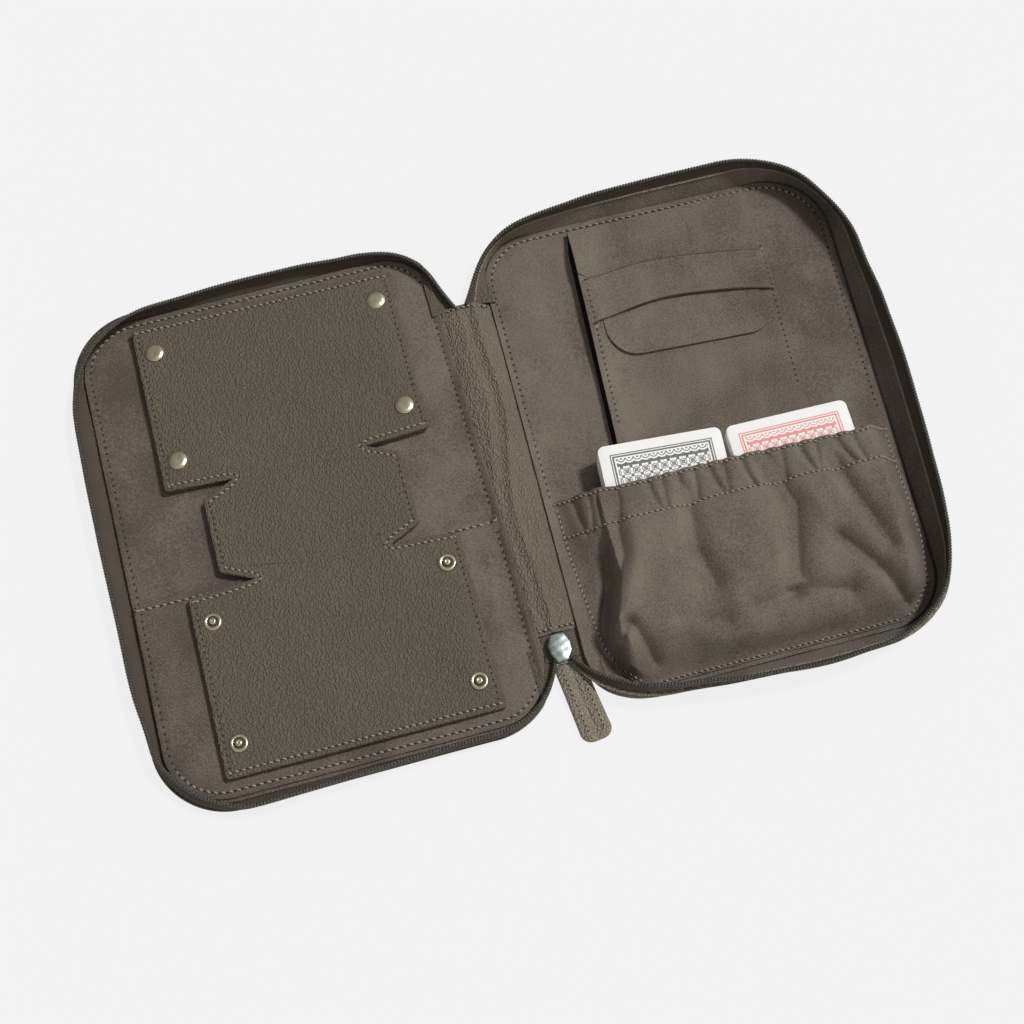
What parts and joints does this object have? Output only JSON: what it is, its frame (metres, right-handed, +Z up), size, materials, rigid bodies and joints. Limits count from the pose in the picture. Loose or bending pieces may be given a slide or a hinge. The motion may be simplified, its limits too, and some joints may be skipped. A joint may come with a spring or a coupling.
{
  "type": "travel game case",
  "caption": "Zip-around leather game case opened flat like a book, with a flat dice cup that snaps together, a tuck-flap wallet and a gathered pocket for decks of cards.",
  "frame": {"origin": "middle of the right half's underside, where it rests", "axes": "+X across both halves from the left half to the right, +Y along the spine towards the wallet's top, +Z up, out of the open case"},
  "size_m": [0.4166, 0.2866, 0.0232],
  "materials": {
    "grain_leather": "taupe brown leather with a fine pebble grain",
    "suede": "taupe brown suede, short nap",
    "grey_board": "plain stiffening board, hidden",
    "zip_tape": "woven dark brown tape",
    "zip_coil": "nylon coil, dark grey green",
    "snap_metal": "polished pale nickel over brass",
    "slider_metal": "polished zinc, pale grey plating",
    "elastic": "covered elastic, hidden",
    "slate_cards": null,
    "red_cards": null
  },
  "bodies": {
    "right_half": {"right_cover": "grain_leather", "right_board": "grey_board", "right_lining": "suede", "right_gusset": "suede", "right_welt": "grain_leather", "right_zip_tape": "zip_tape", "right_zip_coil": "zip_coil", "wallet_back": "suede", "wallet_front": "suede", "wallet_flap": "suede", "wallet_strap": "suede", "gathered_pocket": "suede", "pocket_elastic": "elastic"},
    "spine": {"spine_cover": "grain_leather", "spine_lining": "grain_leather", "zip_end_tapes": "zip_tape", "zip_end_coils": "zip_coil"},
    "left_half": {"left_cover": "grain_leather", "left_board": "grey_board", "left_lining": "suede", "left_zip_tape": "zip_tape", "left_zip_coil": "zip_coil", "left_patch_pocket": "suede", "lining_snap_posts": "snap_metal"},
    "cup_waist": {"cup_waist_face": "grain_leather", "cup_waist_backing": "suede"},
    "cup_upper": {"cup_upper_face": "grain_leather", "cup_upper_backing": "suede", "snap_caps": "snap_metal", "snap_sockets": "snap_metal"},
    "cup_lower": {"cup_lower_face": "grain_leather", "cup_lower_backing": "suede", "snap_posts": "snap_metal", "snap_post_backs": "snap_metal"},
    "black_deck": {"deck_black": "slate_cards"},
    "red_deck": {"deck_red": "red_cards"},
    "zip_slider": {"slider_body": "slider_metal", "slider_bridge": "slider_metal"},
    "zip_pull": {"pull_link": "slider_metal", "pull_tab": "grain_leather"}
  },
  "joints": [
    {"name": "cover_fold", "type": "hinge", "parent": "spine", "child": "left_half", "pos_m": [-0.125, 0, 0.0015], "axis": [0, 1, 0], "range_deg": [0, 90]},
    {"name": "spine_fold", "type": "hinge", "parent": "right_half", "child": "spine", "pos_m": [-0.093, 0, 0.0015], "axis": [0, 1, 0], "range_deg": [0, 90]},
    {"name": "cup_lift", "type": "slide", "parent": "left_half", "child": "cup_waist", "axis": [0, 0, -1], "range_m": [-0.05, 0]},
    {"name": "cup_upper_fold", "type": "hinge", "parent": "cup_waist", "child": "cup_upper", "pos_m": [-0.2125, 0.031, 0.00895], "axis": [-1, 0, 0], "range_deg": [-90, 0]},
    {"name": "cup_lower_fold", "type": "hinge", "parent": "cup_waist", "child": "cup_lower", "pos_m": [-0.2125, -0.025, 0.00895], "axis": [1, 0, 0], "range_deg": [-90, 0]},
    {"name": "black_deck_slide", "type": "slide", "parent": "right_half", "child": "black_deck", "axis": [0, -1, 0], "range_m": [-0.05, 0]},
    {"name": "red_deck_slide", "type": "slide", "parent": "right_half", "child": "red_deck", "axis": [0, -1, 0], "range_m": [-0.05, 0]},
    {"name": "zip_slide", "type": "slide", "parent": "spine", "child": "zip_slider", "axis": [0, 1, 0], "range_m": [-0.006, 0]},
    {"name": "zip_pull_swing", "type": "hinge", "parent": "zip_slider", "child": "zip_pull", "pos_m": [-0.109, -0.1017, 0.00287], "axis": [1, 0, 0], "range_deg": [0, 150]}
  ],
  "couplings": [
    {"joint": "spine_fold", "follows": "cover_fold", "ratio": 1}
  ]
}
